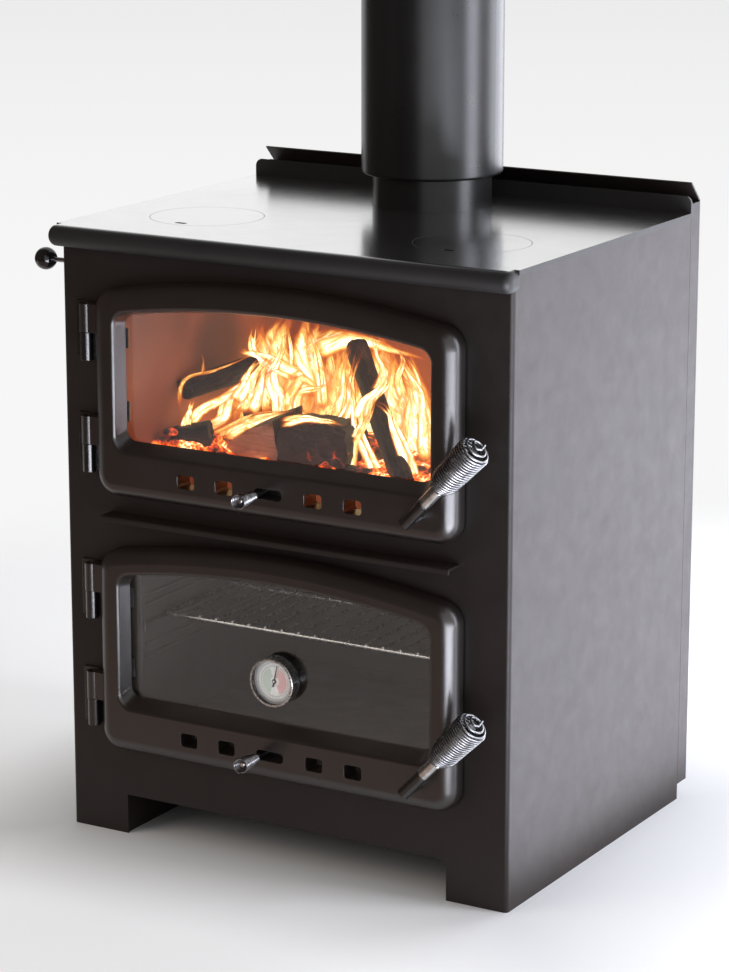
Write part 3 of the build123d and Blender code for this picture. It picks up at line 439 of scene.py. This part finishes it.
finishes = {
    "panel_paint": paint("panel_paint", (0.021, 0.0145, 0.0125), (0.027, 0.019, 0.0165),
                         roughness=(0.42, 0.52), shine=0.34, grain=0.22),
    "door_iron": paint("door_iron", (0.021, 0.0142, 0.012), (0.027, 0.0185, 0.016),
                       roughness=(0.27, 0.34), shine=0.85, grain=0.12, peel=0.04),
    "hardware_iron": paint("hardware_iron", (0.011, 0.009, 0.0085), (0.018, 0.0145, 0.014),
                           roughness=(0.18, 0.28), shine=0.8, grain=0.12, peel=0.1, patches=60.0),
    "knob_black": paint("knob_black", (0.014, 0.013, 0.013), (0.022, 0.02, 0.02),
                        roughness=(0.12, 0.2), shine=0.6, grain=0.05),
    "gauge_needle": paint("gauge_needle", (0.02, 0.02, 0.02), (0.03, 0.03, 0.03),
                          roughness=(0.4, 0.5), shine=0.5, grain=0.1),
    "cooktop_steel": cooktop_steel(),
    "flue_paint": flue_paint(),
    "inner_steel": inner_steel(),
    "firebrick": firebrick(),
    "door_glass": pane("door_glass", (0.93, 0.93, 0.92), (0.0, 0.05)),
    "rope_seal": rope(),
    "fixing_steel": metal("fixing_steel", (0.42, 0.42, 0.43), (0.34, 0.5)),
    "bright_steel": metal("bright_steel", (0.68, 0.67, 0.66), (0.16, 0.28), brushed=(1.0, 1.0, 0.2)),
    "grip_wire": metal("grip_wire", (0.34, 0.34, 0.35), (0.18, 0.3), wear=0.5),
    "chrome_wire": metal("chrome_wire", (0.55, 0.53, 0.5), (0.2, 0.34), wear=0.3),
    "gauge_chrome": gauge_case(),
    "gauge_face": gauge_face(),
}
for entry in frame["record"]["subparts"]:
    mesh = nodes[entry["node"]].data
    mesh.materials.clear()
    mesh.materials.append(finishes[entry["material_slot"]])


# Fire, placed where the camera sees it through the window

def sight(px, py, depth):
    """The point at a depth in mm behind the front that the camera sees at a place in its picture."""
    ray = Vector((px - PICTURE[0] / 2, PICTURE[1] / 2 - py, -CAMERA_LENS / SENSOR * PICTURE[1]))
    ray.rotate(Euler([math.radians(a) for a in CAMERA_TURN]))
    start = Vector(CAMERA_AT)
    return start + ray * ((depth / 1000 - start.y) / ray.y)


def smooth_line(points, steps):
    """Points along a smooth line through the given ones."""
    ends = [2 * points[0] - points[1], *points, 2 * points[-1] - points[-2]]
    line = []
    for i in range(steps + 1):
        place = i / steps * (len(points) - 1)
        k = min(int(place), len(points) - 2)
        t = place - k
        a, b, c, d = ends[k:k + 4]
        curve = (2 * a - 5 * b + 4 * c - d) * t * t + (3 * b - a - 3 * c + d) * t ** 3
        line.append(0.5 * (2 * b + (c - a) * t + curve))
    return line


def piece(name, mesh, *materials):
    """A piece of the fire, which stays with the stove."""
    for material in materials:
        mesh.materials.append(material)
    made = bpy.data.objects.new(name, mesh)
    scene.collection.objects.link(made)
    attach(made, "stove")
    return made


def charred_wood():
    """Burnt wood: black scales, ashy edges and cracks that glow in patches."""
    s = Shader("charred_wood")
    grain = s.add("ShaderNodeUVMap").outputs["UV"]
    scales = s.cells(95.0, s.scaled((0.55, 1.0, 1.0), grain))
    crack = s.span(scales, 0.02, 0.12, 1.0, 0.0, True)
    edge = s.span(scales, 0.1, 0.28, 1.0, 0.0, True)
    char = s.ramp(s.noise(60.0, 5.0, 0.65), [(0.3, (0.006, 0.0048, 0.005)), (0.7, (0.026, 0.018, 0.018))])
    ashy = s.span(s.noise(40.0, 4.0, 0.7), 0.5, 0.72)
    dusty = s.blend(s.math("MULTIPLY", s.math("MULTIPLY", edge, ashy), 0.35), char, (0.2, 0.17, 0.16))
    hot = s.span(s.noise(22.0, 3.0, 0.6), 0.6, 0.76, smooth=True)
    glow = s.math("MULTIPLY", crack, hot)
    light = s.ramp(glow, [(0.0, (0.0, 0.0, 0.0)), (0.35, (0.5, 0.03, 0.0)), (1.0, (1.0, 0.32, 0.05))])
    height = s.math("ADD", s.math("MULTIPLY", crack, -1.0), s.math("MULTIPLY", s.noise(240.0, 4.0, 0.6), 0.5))
    shader = s.principled(Base_Color=dusty, Roughness=s.span(ashy, 0.0, 1.0, 0.62, 0.9),
                          Normal=s.bump(height, 0.7, 0.0018), Emission_Color=light)
    shader.node.inputs["Emission Strength"].default_value = 1.4
    return s.surface(shader)


def split_wood():
    """Pale split wood with its rings, scorched in patches and towards its edges."""
    s = Shader("split_wood")
    grain = s.add("ShaderNodeUVMap").outputs["UV"]
    rings = s.noise(260.0, 4.0, 0.6, s.scaled((0.12, 1.0, 1.0), grain), 0.3)
    pale = s.ramp(rings, [(0.3, (0.40, 0.235, 0.15)), (0.7, (0.62, 0.42, 0.29))])
    scorch = s.span(s.noise(34.0, 5.0, 0.65), 0.5, 0.72, smooth=True)
    colour = s.blend(s.math("MULTIPLY", scorch, 0.85), pale, (0.05, 0.028, 0.02))
    normal = s.bump(rings, 0.5, 0.0012)
    return s.surface(s.principled(Base_Color=colour, Roughness=0.85, Normal=normal))


def ember():
    """Coals: ash-grey skins over a glow that shows from red to nearly white."""
    s = Shader("ember")
    cells = s.cells(120.0)
    crack = s.span(cells, 0.0, 0.22, 1.0, 0.0, True)
    hot = s.span(s.noise(26.0, 4.0, 0.65), 0.40, 0.66, smooth=True)
    heat = s.math("MULTIPLY", hot, s.math("ADD", s.math("MULTIPLY", crack, 0.65), 0.35))
    light = s.ramp(heat, [(0.0, (0.0, 0.0, 0.0)), (0.2, (0.45, 0.03, 0.0)), (0.55, (1.0, 0.25, 0.03)),
                          (1.0, (1.0, 0.8, 0.5))])
    skin = s.ramp(s.noise(90.0, 5.0, 0.7), [(0.35, (0.02, 0.015, 0.014)), (0.7, (0.2, 0.17, 0.155))])
    shader = s.principled(Base_Color=skin, Roughness=0.9, Emission_Color=light,
                          Normal=s.bump(s.noise(300.0, 4.0, 0.6), 0.7, 0.002))
    shader.node.inputs["Emission Strength"].default_value = 2.5
    return s.surface(shader)


def flame():
    """Burning gas: bright threads in a thinner sheet, fading to nothing at its edges and tips."""
    s = Shader("flame")
    strand = s.add("ShaderNodeAttribute", attribute_name="strand").outputs["Vector"]
    parts = s.add("ShaderNodeSeparateXYZ", {"Vector": strand})
    along, across, heat = parts.outputs[0], parts.outputs[1], parts.outputs[2]
    flow = s.add("ShaderNodeUVMap").outputs["UV"]
    folds = s.noise(2.3, 3.0, 0.55, s.scaled((0.6, 1.0, 1.0), flow), 0.9)
    ridge = s.math("ABSOLUTE", s.math("SUBTRACT", s.math("MULTIPLY", folds, 2.0), 1.0))
    thread = s.math("POWER", s.math("SUBTRACT", 1.0, ridge), 3.0)
    off = s.math("ABSOLUTE", s.math("SUBTRACT", s.math("MULTIPLY", across, 2.0), 1.0))
    body = s.span(off, 0.15, 1.0, 1.0, 0.0, True)
    root = s.span(along, 0.0, 0.16, smooth=True)
    tip = s.span(along, 0.55, 1.0, 1.0, 0.0, True)
    shape = s.math("MULTIPLY", s.math("MULTIPLY", body, root), tip)
    strength = s.math("ADD", s.math("MULTIPLY", thread, 0.65), 0.4)
    power = s.math("MULTIPLY", s.math("MULTIPLY", shape, strength), heat)
    light = s.ramp(power, [(0.0, (0.55, 0.05, 0.0)), (0.22, (1.0, 0.17, 0.02)), (0.45, (1.0, 0.42, 0.07)),
                           (0.68, (1.0, 0.75, 0.28)), (0.9, (1.0, 0.95, 0.72))])
    clear = s.span(power, 0.02, 0.6)
    shader = s.principled(Base_Color=(0.0, 0.0, 0.0, 1.0), Roughness=1.0, Emission_Color=light, Alpha=clear)
    bright = s.span(power, 0.2, 0.9, 0.9, 2.2)
    s.tree.links.new(bright, shader.node.inputs["Emission Strength"])
    shader.node.inputs["Specular IOR Level"].default_value = 0.0
    return s.surface(shader)


def log(name, near, far, outline, seed, end_look=CHARRED):
    """A length of firewood: an outline swept from its near end, roughened, with shaped ends."""
    axis = (far - near).normalized()
    side = axis.cross(Vector((0, 0, 1))).normalized()
    up = side.cross(axis)
    length = (far - near).length
    ring = [Vector((*p, 0)) for p in outline]
    around = []
    for corner, after in zip(ring, ring[1:] + ring[:1]):
        around += [corner.lerp(after, k / LOG_PARTS) for k in range(LOG_PARTS)]
    swept = [(0.0, share) for share in LOG_END] + [(i / LOG_RINGS, 1.0) for i in range(1, LOG_RINGS)]
    swept += [(1.0, share) for share in reversed(LOG_END)]
    count, rows = len(around), len(swept)
    offset = Vector((seed * 7.3, seed * 3.1, seed * 5.7))
    verts = []
    for place, share in swept:
        middle = near + axis * (length * place)
        for p in around:
            spot = Vector((place * length * LOG_LUMPS[0], p.x * LOG_LUMPS[1], p.y * LOG_LUMPS[1])) + offset
            rough = noise.noise(spot) * 0.6 + abs(noise.noise(spot * 2.3)) * 0.4
            size = share * (1.0 + LOG_ROUGH * rough)
            torn = noise.noise(Vector((p.x * 140, p.y * 140, place * 9)) + offset) * LOG_END_ROUGH
            ends = axis * (torn * (share < 1))
            verts.append(middle + side * (p.x * size) + up * (p.y * size) + ends)
    faces = []
    for r in range(rows - 1):
        for k in range(count):
            n = (k + 1) % count
            faces.append((r * count + k, r * count + n, (r + 1) * count + n, (r + 1) * count + k))
    faces.append(tuple(reversed(range(count))))
    faces.append(tuple(range((rows - 1) * count, rows * count)))
    mesh = bpy.data.meshes.new(name)
    mesh.from_pydata(verts, [], faces)
    lay_grain(mesh, around, swept, length, end_look)
    piece(name, mesh, burnt, pale_wood)


def lay_grain(mesh, around, swept, length, end_look):
    """The wood's coordinates: along and round a log's side, and across its ends."""
    count, rows, capped = len(around), len(swept), len(LOG_END)
    layer = mesh.uv_layers.new(name="UVMap")
    for face in mesh.polygons:
        face.use_smooth = True
        r = face.index // count
        at_end = r < capped - 1 or r >= rows - capped
        face.material_index = end_look if at_end else CHARRED
        closing = face.vertices[0] % count == count - 1
        for loop in face.loop_indices:
            row, k = divmod(mesh.loops[loop].vertex_index, count)
            place, share = swept[row]
            if at_end:
                spot = around[k] * share
                layer.data[loop].uv = (spot.x, spot.y)
            else:
                turned = count if closing and k == 0 else k
                layer.data[loop].uv = (place * length, turned * GRAIN_STEP)


def rounded(half_w, half_h, corner=0.35):
    """An outline between a box and an oval: the higher corner is, the rounder it gets."""
    points = []
    for i in range(OUTLINE_POINTS):
        turn = 2 * math.pi * i / OUTLINE_POINTS
        c, s = math.cos(turn), math.sin(turn)
        x = half_w * math.copysign(abs(c) ** corner, c)
        y = half_h * math.copysign(abs(s) ** corner, s)
        points.append((x, y))
    return points


def coals():
    """The ember bed, heaped on the left, with loose coals on it."""
    rng = random.Random(11)
    made = bmesh.new()
    across, deep = BED_GRID
    (x0, x1), (y0, y1) = BED_X, BED_Y

    def height(x, y):
        from_heap = ((x - HEAP_AT[0]) / HEAP_R[0]) ** 2 + ((y - HEAP_AT[1]) / HEAP_R[1]) ** 2
        heap = HEAP_H * math.exp(-from_heap)
        lumps = abs(noise.noise(Vector((x * 55, y * 55, 1.0)))) * 0.010
        grit = noise.noise(Vector((x * 170, y * 170, 4.0))) * 0.0025
        before = min(max((LOW_FROM[1] - y) / 0.02, 0.0), 1.0)
        beside = min(max((x - LOW_FROM[0]) / 0.03, 0.0), 1.0)
        return (BED_DEPTH + heap + lumps + grit) * (1.0 - 0.85 * before * beside)

    rows = []
    for j in range(deep + 1):
        y = y0 + (y1 - y0) * j / deep
        row = []
        for i in range(across + 1):
            x = x0 + (x1 - x0) * i / across
            border = i in (0, across) or j in (0, deep)
            lift = 0.0 if border else max(height(x, y), 0.001)
            row.append(made.verts.new((x, y, BED_Z + lift)))
        rows.append(row)
    for j in range(deep):
        for i in range(across):
            made.faces.new((rows[j][i], rows[j][i + 1], rows[j + 1][i + 1], rows[j + 1][i]))
    rim = rows[0] + [r[-1] for r in rows[1:]] + rows[-1][-2::-1] + [r[0] for r in rows[-2:0:-1]]
    made.faces.new(tuple(reversed(rim)))

    spots = [sight(*spot) for spot in HOT_COALS]
    for _ in range(LOOSE_COALS):
        x = rng.uniform(x0 + BED_MARGIN, x1 - BED_MARGIN)
        y = rng.uniform(y0 + BED_MARGIN, y1 - BED_MARGIN)
        spots.append(Vector((x, y, BED_Z + height(x, y))))
    for n, spot in enumerate(spots):
        radius = rng.uniform(*(HOT_COAL_R if n < len(HOT_COALS) else COAL_R))
        ball = bmesh.ops.create_icosphere(made, subdivisions=2, radius=radius)
        squash = Vector((rng.uniform(0.8, 1.4), rng.uniform(0.8, 1.3), rng.uniform(0.6, 0.9)))
        for v in ball["verts"]:
            rough = 1.0 + 0.35 * noise.noise(v.co * 130 + Vector((n * 3.7, 0, 0)))
            v.co = v.co * squash * rough + spot
    for face in made.faces:
        face.smooth = True
    mesh = bpy.data.meshes.new("ember_bed")
    made.to_mesh(mesh)
    made.free()
    piece("ember_bed", mesh, ember())


def flame_strip(spots, width, heat, stray, facing, rng):
    """One strip: its points, where the gas flows through them, and their places along and across."""
    drift = Vector((rng.uniform(-1, 1), rng.uniform(-1, 1), rng.uniform(-0.4, 0.4))) * stray
    seed = rng.uniform(0, 90)
    turn = rng.uniform(-0.5, 0.5)
    wide = width * rng.uniform(0.7, 1.3)
    hot = heat * rng.uniform(0.85, 1.1)
    line = smooth_line([p + drift for p in spots], FLAME_STEPS)
    verts, flow, strands = [], [], []
    gone = 0.0
    for i, point in enumerate(line):
        share = i / FLAME_STEPS
        sway = [noise.noise(Vector((seed, share * 3, k))) for k in (0, 5, 9)]
        waver = Vector((sway[0], sway[1], sway[2] * 0.5))
        middle = point + waver * (stray * (0.3 + 1.4 * share))
        before, after = line[max(i - 1, 0)], line[min(i + 1, FLAME_STEPS)]
        ahead = (after - before).normalized()
        side = ahead.cross(facing).normalized()
        out = side.cross(ahead)
        angle = turn + 1.2 * noise.noise(Vector((seed, share * 2.5, 20)))
        sideways = side * math.cos(angle) + out * math.sin(angle)
        bow = sideways.cross(ahead)
        swell = math.sin(math.pi * (0.25 + share * 0.75) ** 0.8)
        taper = wide * (0.35 + 0.65 * swell) * (1.15 - share)
        if i:
            gone += (point - before).length
        for j in range(FLAME_PARTS + 1):
            v = j / FLAME_PARTS
            verts.append(middle + sideways * ((v - 0.5) * taper) + bow * (v * (1 - v) * taper))
            flow.append((seed + gone * FLAME_FLOW[0], v * taper * FLAME_FLOW[1] + seed))
            strands.append((share, v, hot))
    return verts, flow, strands


def flames(name, guides, rng):
    """Curved strips of burning gas along the guides, wavering more towards their tips."""
    facing = (sight(*FIRE_MIDDLE) - Vector(CAMERA_AT)).normalized()
    across = FLAME_PARTS + 1
    verts, faces, flow, strands = [], [], [], []
    for count, width, heat, stray, points in guides:
        spots = [sight(*p) for p in points]
        for _ in range(count):
            first = len(verts)
            strip = flame_strip(spots, width / 1000, heat, stray / 1000, facing, rng)
            verts += strip[0]
            flow += strip[1]
            strands += strip[2]
            for a in range(first, len(verts) - across, across):
                b = a + across
                faces += [(a + j, a + j + 1, b + j + 1, b + j) for j in range(FLAME_PARTS)]
    half_w, rear = FIRE_HALF_W - FIRE_GAP, FIRE_REAR - FIRE_GAP
    inside = [(min(max(v.x, -half_w), half_w), min(v.y, rear), min(max(v.z, BED_Z), FIRE_TOP)) for v in verts]
    mesh = bpy.data.meshes.new(name)
    mesh.from_pydata(inside, [], faces)
    layer = mesh.uv_layers.new(name="UVMap")
    for loop in mesh.loops:
        layer.data[loop.index].uv = flow[loop.vertex_index]
    strand = mesh.attributes.new("strand", "FLOAT_VECTOR", "POINT")
    strand.data.foreach_set("vector", [value for place in strands for value in place])
    for face in mesh.polygons:
        face.use_smooth = True
    piece(name, mesh, burning).visible_shadow = False


def fire_lamp(name, place, power, colour=FLAME_TINT):
    """A small warm light inside the stove, which shows only on what it lights."""
    data = bpy.data.lights.new(name, "POINT")
    data.energy = power
    data.shadow_soft_size = FIRE_LAMP_R
    data.color = colour
    made = bpy.data.objects.new(name, data)
    made.location = place
    for seen in ("visible_camera", "visible_glossy", "visible_transmission"):
        setattr(made, seen, False)
    scene.collection.objects.link(made)


burnt = charred_wood()
pale_wood = split_wood()
burning = flame()
burning.cycles.emission_sampling = "NONE"
scene.cycles.transparent_max_bounces = FLAME_LAYERS

coals()
log("log_block", Vector((-0.061, -0.062, 0.485)), Vector((-0.066, 0.002, 0.482)), rounded(0.048, 0.028), 1)
wedge = [(-0.042, -0.012), (0.040, -0.012), (0.030, 0.038), (0.0, 0.026), (-0.024, 0.010)]
log("log_wedge", Vector((-0.148, -0.066, 0.470)), Vector((-0.162, 0.03, 0.472)), wedge, 2, PALE)
log("log_stub", sight(175, 440, -112), sight(212, 434, -92), rounded(0.021, 0.017, 0.8), 3)
log("log_left", sight(185, 389, -106), sight(254, 366, -2), rounded(0.014, 0.013, 0.8), 4)
log("log_prop", sight(256, 436, 0), sight(249, 372, -6), rounded(0.011, 0.012, 0.8), 7)
log("log_leaning", sight(405, 487, -62), sight(357, 346, 60), rounded(0.013, 0.014, 0.7), 5)
flames("flames_rear", REAR_FLAMES, random.Random(3))
flames("flames_middle", MIDDLE_FLAMES, random.Random(4))
flames("flames_front", FRONT_FLAMES, random.Random(5))


# Stage, camera and lamps

def lit_and_seen(s):
    """1 for a ray from the camera, a gloss or a glass, 0 for the light between surfaces."""
    path = s.add("ShaderNodeLightPath").outputs
    both = s.math("ADD", path["Is Camera Ray"], path["Is Glossy Ray"])
    return s.math("ADD", both, path["Is Transmission Ray"], True)


def floor_material():
    s = Shader("floor")
    x, y, _ = s.axes()
    away = s.math("SQRT", s.math("ADD", s.math("MULTIPLY", x, x), s.math("MULTIPLY", y, y)))
    bounce = s.add("ShaderNodeBsdfDiffuse", {"Color": (FLOOR_BOUNCE, FLOOR_BOUNCE, FLOOR_BOUNCE, 1.0)})
    shadowed = s.add("ShaderNodeBsdfDiffuse", {"Color": (FLOOR_SEEN, FLOOR_SEEN, FLOOR_SEEN, 1.0)})
    # painted shadow under and beside the stove: the glow is taken away inside the footprint and fades back in
    # outside it
    beside = s.math("SUBTRACT", s.math("ABSOLUTE", x), STOVE_HALF[0])
    before = s.math("SUBTRACT", s.math("ABSOLUTE", y), STOVE_HALF[1])
    clear = s.span(s.math("MAXIMUM", beside, before), *PAINTED_SHADOW_EDGE, 0.0, FLOOR_GLOW)
    glow = s.add("ShaderNodeEmission", {"Strength": clear})
    near = s.add("ShaderNodeAddShader", {0: shadowed.outputs[0], 1: glow.outputs[0]})
    far = s.add("ShaderNodeEmission", {"Strength": s.span(away, *HORIZON, *BACKGROUND)})
    fade = s.span(away, *FADE, smooth=True)
    seen = s.add("ShaderNodeMixShader", {0: fade, 1: near.outputs[0], 2: far.outputs[0]})
    both = s.add("ShaderNodeMixShader", {0: lit_and_seen(s), 1: bounce.outputs[0], 2: seen.outputs[0]})
    return s.surface(both.outputs[0])


def floor():
    mesh = bpy.data.meshes.new("floor")
    half = FLOOR_SIZE / 2
    corners = [(-half, -half, 0), (half, -half, 0), (half, half, 0), (-half, half, 0)]
    mesh.from_pydata(corners, [], [(0, 1, 2, 3)])
    mesh.materials.append(floor_material())
    made = bpy.data.objects.new("floor", mesh)
    scene.collection.objects.link(made)


def world():
    s = Shader("studio", bpy.data.worlds)
    fill, seen = (s.add("ShaderNodeBackground", {"Color": (1.0, 1.0, 1.0, 1.0), "Strength": strength})
                  for strength in (WORLD_FILL, BACKGROUND[1]))
    mixed = s.add("ShaderNodeMixShader", {0: lit_and_seen(s), 1: fill.outputs[0], 2: seen.outputs[0]})
    scene.world = s.surface(mixed.outputs[0], "ShaderNodeOutputWorld")


def camera():
    data = bpy.data.cameras.new("camera")
    data.lens = CAMERA_LENS
    data.clip_end = 100.0
    made = bpy.data.objects.new("camera", data)
    made.location = CAMERA_AT
    made.rotation_euler = [math.radians(a) for a in CAMERA_TURN]
    scene.collection.objects.link(made)
    scene.camera = made


def flag(name, corners, glow=0.06):
    """A dark studio flag, for reflections only, that keeps the pale room off the dark front."""
    mesh = bpy.data.meshes.new(name)
    mesh.from_pydata(corners, [], [tuple(range(len(corners)))])
    s = Shader(name)
    dim = s.add("ShaderNodeEmission", {"Color": FLAG_TINT, "Strength": glow})
    mesh.materials.append(s.surface(dim.outputs[0]))
    made = bpy.data.objects.new(name, mesh)
    for seen in ("visible_camera", "visible_diffuse", "visible_shadow", "visible_transmission"):
        setattr(made, seen, False)
    scene.collection.objects.link(made)


def upright_flag(name, start, end):
    """A flag from one angle round the stove to another, standing on the floor."""
    turns = [math.radians(angle) for angle in (start, end)]
    (x0, y0), (x1, y1) = [(FLAG_R * math.cos(turn), FLAG_R * math.sin(turn)) for turn in turns]
    flag(name, [(x0, y0, 0.0), (x1, y1, 0.0), (x1, y1, FLAG_TOP), (x0, y0, FLAG_TOP)])


def level_flag(name, outline, height, glow):
    """A flag that lies level at a height."""
    flag(name, [(x, y, height) for x, y in outline], glow)


def area_lamp(name, size, brightness, colour, place, turn):
    """A rectangular lamp that the camera doesn't see, with its brightness per area."""
    data = bpy.data.lights.new(name, "AREA")
    data.shape = "RECTANGLE"
    data.size, data.size_y = size
    data.energy = brightness * math.pi * size[0] * size[1]
    data.color = colour
    made = bpy.data.objects.new(name, data)
    made.location = place
    made.rotation_euler = turn
    made.visible_camera = False
    scene.collection.objects.link(made)
    return made


def softbox(name, azimuth, distance, height, size, brightness, colour=COOL, glossy=True):
    """A lamp at an angle from +X, aimed at the middle of the stove."""
    turn = math.radians(azimuth)
    place = Vector((distance * math.cos(turn), distance * math.sin(turn), height))
    aimed = (Vector(LAMP_AIM) - place).to_track_quat("-Z", "Y").to_euler()
    area_lamp(name, size, brightness, colour, place, aimed).visible_glossy = glossy


def floor_card(name, low, high, brightness, diffuse=True):
    """A lamp lying on the floor, which the side panel or the door rims reflect."""
    size = (high[0] - low[0], high[1] - low[1])
    place = ((low[0] + high[0]) / 2, (low[1] + high[1]) / 2, CARD_LIFT)
    area_lamp(name, size, brightness, COOL, place, (math.pi, 0.0, 0.0)).visible_diffuse = diffuse


floor()
world()
camera()
softbox("right", 8.0, 2.4, 1.1, (0.9, 2.2), 7.0)
softbox("rear_right", 67.0, 1.7, 0.8, (1.5, 1.6), 3.4)
softbox("back", 121.0, 3.2, 1.6, (2.4, 1.4), 0.55, colour=(1.0, 1.0, 1.0))
softbox("front", -128.0, 2.7, 1.5, (1.8, 1.4), 2.0, colour=WARM, glossy=False)
floor_card("card_rear", (0.36, -0.15), (2.3, 2.3), 3.3)
floor_card("card_side", (0.55, -2.4), (3.2, -0.6), 14.0, diffuse=False)
fire_lamp("oven_lamp", (0.06, -0.10, 0.355), 0.4, OVEN_TINT)
fire_lamp("fire_left", (-0.13, 0.0, 0.59), 0.15)
fire_lamp("fire_middle", (0.0, 0.03, 0.60), 0.27)
fire_lamp("fire_right", (0.13, 0.02, 0.58), 0.28)
upright_flag("flag_left", -200.0, -160.0)
upright_flag("flag_corner", -160.0, -120.0)
upright_flag("flag_front", -120.0, -80.0)
level_flag("flag_over", [(-2.4, -2.4), (1.2, -2.4), (1.2, 0.4), (-2.4, 0.4)], FLAG_TOP, 0.06)
level_flag("flag_near", [(-1.9, -1.3), (0.46, -1.3), (0.36, -0.42), (-1.0, -0.42)], FLAG_LIFT, 0.42)
level_flag("flag_far", [(-2.4, -2.6), (0.6, -2.6), (0.46, -1.3), (-1.9, -1.3)], FLAG_LIFT, 0.12)
